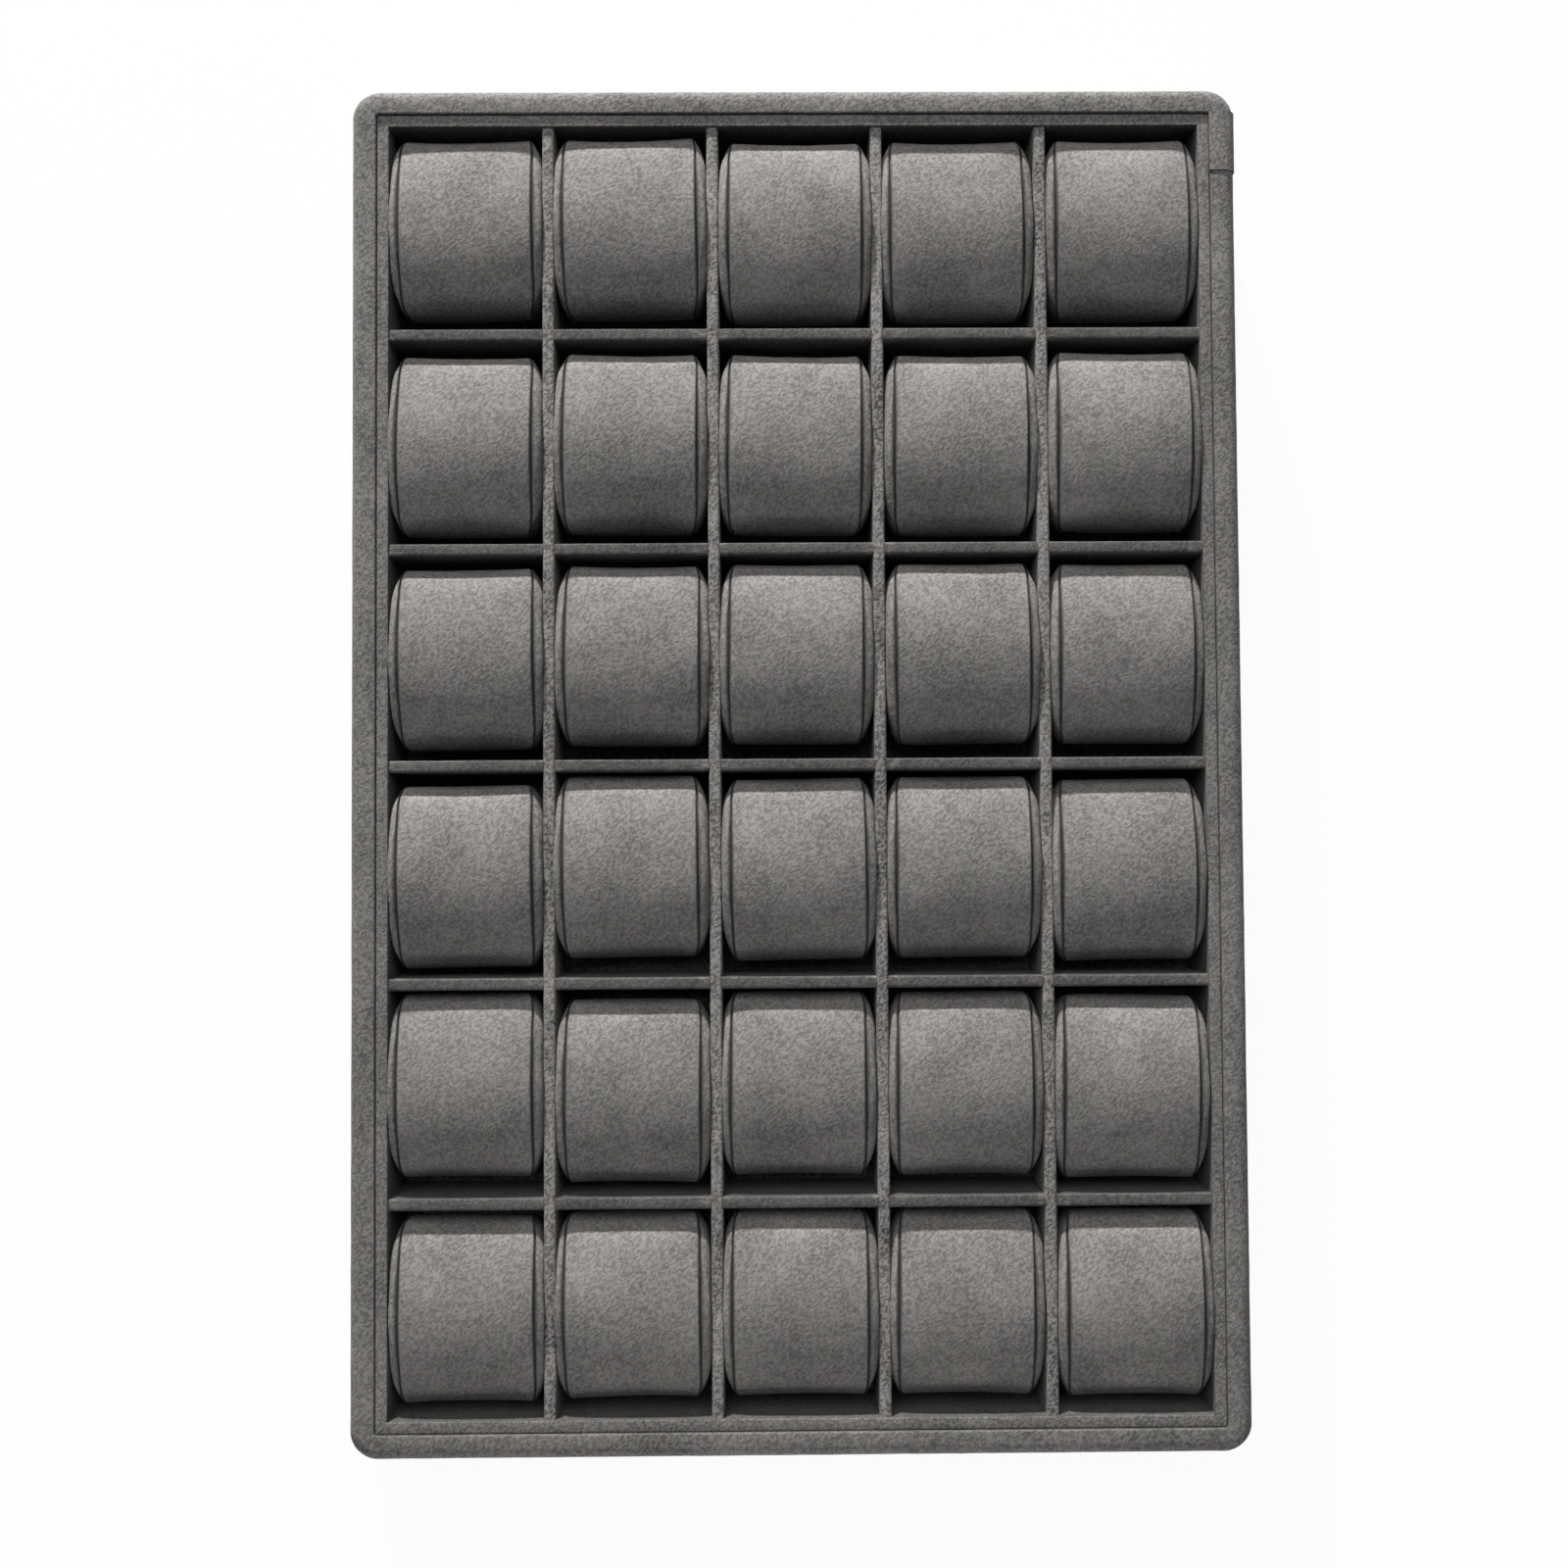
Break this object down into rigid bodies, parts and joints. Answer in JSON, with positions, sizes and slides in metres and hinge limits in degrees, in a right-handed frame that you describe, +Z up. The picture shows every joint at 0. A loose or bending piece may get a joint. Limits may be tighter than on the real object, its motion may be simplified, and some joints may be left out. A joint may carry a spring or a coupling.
{
  "type": "watch display tray",
  "caption": "Flat suede-covered display tray with a padded rim, crossed dividers and a soft lift-out watch pillow in each compartment.",
  "frame": {"origin": "middle of the underside, on the face that the tray rests on", "axes": "+Z up, +Y along the tray to its back row, +X across the columns to the right"},
  "size_m": [0.312, 0.478, 0.0435],
  "materials": {
    "tray_suede": "matte",
    "pillow_suede": "matte",
    "board": "matte",
    "backing": "matte"
  },
  "bodies": {
    "tray": {"base_board": "board", "rail_front": "board", "rail_back": "board", "rail_left": "board", "rail_right": "board", "liner_front": "board", "liner_back": "board", "liner_left": "board", "liner_right": "board", "column_divider_1": "board", "column_divider_2": "board", "column_divider_3": "board", "column_divider_4": "board", "row_divider_1": "board", "row_divider_2": "board", "row_divider_3": "board", "row_divider_4": "board", "row_divider_5": "board", "backing_sheet": "backing", "floor_lining": "tray_suede", "rim_cover_front": "tray_suede", "rim_cover_back": "tray_suede", "rim_cover_left": "tray_suede", "rim_cover_right": "tray_suede", "liner_covers": "tray_suede", "column_divider_covers": "tray_suede", "row_divider_covers": "tray_suede"},
    "loose_pillow_r1c1": {"pillow_r1c1": "pillow_suede"},
    "loose_pillow_r1c2": {"pillow_r1c2": "pillow_suede"},
    "loose_pillow_r1c3": {"pillow_r1c3": "pillow_suede"},
    "loose_pillow_r1c4": {"pillow_r1c4": "pillow_suede"},
    "loose_pillow_r1c5": {"pillow_r1c5": "pillow_suede"},
    "loose_pillow_r2c1": {"pillow_r2c1": "pillow_suede"},
    "loose_pillow_r2c2": {"pillow_r2c2": "pillow_suede"},
    "loose_pillow_r2c3": {"pillow_r2c3": "pillow_suede"},
    "loose_pillow_r2c4": {"pillow_r2c4": "pillow_suede"},
    "loose_pillow_r2c5": {"pillow_r2c5": "pillow_suede"},
    "loose_pillow_r3c1": {"pillow_r3c1": "pillow_suede"},
    "loose_pillow_r3c2": {"pillow_r3c2": "pillow_suede"},
    "loose_pillow_r3c3": {"pillow_r3c3": "pillow_suede"},
    "loose_pillow_r3c4": {"pillow_r3c4": "pillow_suede"},
    "loose_pillow_r3c5": {"pillow_r3c5": "pillow_suede"},
    "loose_pillow_r4c1": {"pillow_r4c1": "pillow_suede"},
    "loose_pillow_r4c2": {"pillow_r4c2": "pillow_suede"},
    "loose_pillow_r4c3": {"pillow_r4c3": "pillow_suede"},
    "loose_pillow_r4c4": {"pillow_r4c4": "pillow_suede"},
    "loose_pillow_r4c5": {"pillow_r4c5": "pillow_suede"},
    "loose_pillow_r5c1": {"pillow_r5c1": "pillow_suede"},
    "loose_pillow_r5c2": {"pillow_r5c2": "pillow_suede"},
    "loose_pillow_r5c3": {"pillow_r5c3": "pillow_suede"},
    "loose_pillow_r5c4": {"pillow_r5c4": "pillow_suede"},
    "loose_pillow_r5c5": {"pillow_r5c5": "pillow_suede"},
    "loose_pillow_r6c1": {"pillow_r6c1": "pillow_suede"},
    "loose_pillow_r6c2": {"pillow_r6c2": "pillow_suede"},
    "loose_pillow_r6c3": {"pillow_r6c3": "pillow_suede"},
    "loose_pillow_r6c4": {"pillow_r6c4": "pillow_suede"},
    "loose_pillow_r6c5": {"pillow_r6c5": "pillow_suede"}
  },
  "joints": [
    {"name": "lift_r1c1", "type": "slide", "parent": "tray", "child": "loose_pillow_r1c1", "axis": [0, 0, 1], "range_m": [0, 0.05]},
    {"name": "lift_r1c2", "type": "slide", "parent": "tray", "child": "loose_pillow_r1c2", "axis": [0, 0, 1], "range_m": [0, 0.05]},
    {"name": "lift_r1c3", "type": "slide", "parent": "tray", "child": "loose_pillow_r1c3", "axis": [0, 0, 1], "range_m": [0, 0.05]},
    {"name": "lift_r1c4", "type": "slide", "parent": "tray", "child": "loose_pillow_r1c4", "axis": [0, 0, 1], "range_m": [0, 0.05]},
    {"name": "lift_r1c5", "type": "slide", "parent": "tray", "child": "loose_pillow_r1c5", "axis": [0, 0, 1], "range_m": [0, 0.05]},
    {"name": "lift_r2c1", "type": "slide", "parent": "tray", "child": "loose_pillow_r2c1", "axis": [0, 0, 1], "range_m": [0, 0.05]},
    {"name": "lift_r2c2", "type": "slide", "parent": "tray", "child": "loose_pillow_r2c2", "axis": [0, 0, 1], "range_m": [0, 0.05]},
    {"name": "lift_r2c3", "type": "slide", "parent": "tray", "child": "loose_pillow_r2c3", "axis": [0, 0, 1], "range_m": [0, 0.05]},
    {"name": "lift_r2c4", "type": "slide", "parent": "tray", "child": "loose_pillow_r2c4", "axis": [0, 0, 1], "range_m": [0, 0.05]},
    {"name": "lift_r2c5", "type": "slide", "parent": "tray", "child": "loose_pillow_r2c5", "axis": [0, 0, 1], "range_m": [0, 0.05]},
    {"name": "lift_r3c1", "type": "slide", "parent": "tray", "child": "loose_pillow_r3c1", "axis": [0, 0, 1], "range_m": [0, 0.05]},
    {"name": "lift_r3c2", "type": "slide", "parent": "tray", "child": "loose_pillow_r3c2", "axis": [0, 0, 1], "range_m": [0, 0.05]},
    {"name": "lift_r3c3", "type": "slide", "parent": "tray", "child": "loose_pillow_r3c3", "axis": [0, 0, 1], "range_m": [0, 0.05]},
    {"name": "lift_r3c4", "type": "slide", "parent": "tray", "child": "loose_pillow_r3c4", "axis": [0, 0, 1], "range_m": [0, 0.05]},
    {"name": "lift_r3c5", "type": "slide", "parent": "tray", "child": "loose_pillow_r3c5", "axis": [0, 0, 1], "range_m": [0, 0.05]},
    {"name": "lift_r4c1", "type": "slide", "parent": "tray", "child": "loose_pillow_r4c1", "axis": [0, 0, 1], "range_m": [0, 0.05]},
    {"name": "lift_r4c2", "type": "slide", "parent": "tray", "child": "loose_pillow_r4c2", "axis": [0, 0, 1], "range_m": [0, 0.05]},
    {"name": "lift_r4c3", "type": "slide", "parent": "tray", "child": "loose_pillow_r4c3", "axis": [0, 0, 1], "range_m": [0, 0.05]},
    {"name": "lift_r4c4", "type": "slide", "parent": "tray", "child": "loose_pillow_r4c4", "axis": [0, 0, 1], "range_m": [0, 0.05]},
    {"name": "lift_r4c5", "type": "slide", "parent": "tray", "child": "loose_pillow_r4c5", "axis": [0, 0, 1], "range_m": [0, 0.05]},
    {"name": "lift_r5c1", "type": "slide", "parent": "tray", "child": "loose_pillow_r5c1", "axis": [0, 0, 1], "range_m": [0, 0.05]},
    {"name": "lift_r5c2", "type": "slide", "parent": "tray", "child": "loose_pillow_r5c2", "axis": [0, 0, 1], "range_m": [0, 0.05]},
    {"name": "lift_r5c3", "type": "slide", "parent": "tray", "child": "loose_pillow_r5c3", "axis": [0, 0, 1], "range_m": [0, 0.05]},
    {"name": "lift_r5c4", "type": "slide", "parent": "tray", "child": "loose_pillow_r5c4", "axis": [0, 0, 1], "range_m": [0, 0.05]},
    {"name": "lift_r5c5", "type": "slide", "parent": "tray", "child": "loose_pillow_r5c5", "axis": [0, 0, 1], "range_m": [0, 0.05]},
    {"name": "lift_r6c1", "type": "slide", "parent": "tray", "child": "loose_pillow_r6c1", "axis": [0, 0, 1], "range_m": [0, 0.05]},
    {"name": "lift_r6c2", "type": "slide", "parent": "tray", "child": "loose_pillow_r6c2", "axis": [0, 0, 1], "range_m": [0, 0.05]},
    {"name": "lift_r6c3", "type": "slide", "parent": "tray", "child": "loose_pillow_r6c3", "axis": [0, 0, 1], "range_m": [0, 0.05]},
    {"name": "lift_r6c4", "type": "slide", "parent": "tray", "child": "loose_pillow_r6c4", "axis": [0, 0, 1], "range_m": [0, 0.05]},
    {"name": "lift_r6c5", "type": "slide", "parent": "tray", "child": "loose_pillow_r6c5", "axis": [0, 0, 1], "range_m": [0, 0.05]}
  ]
}
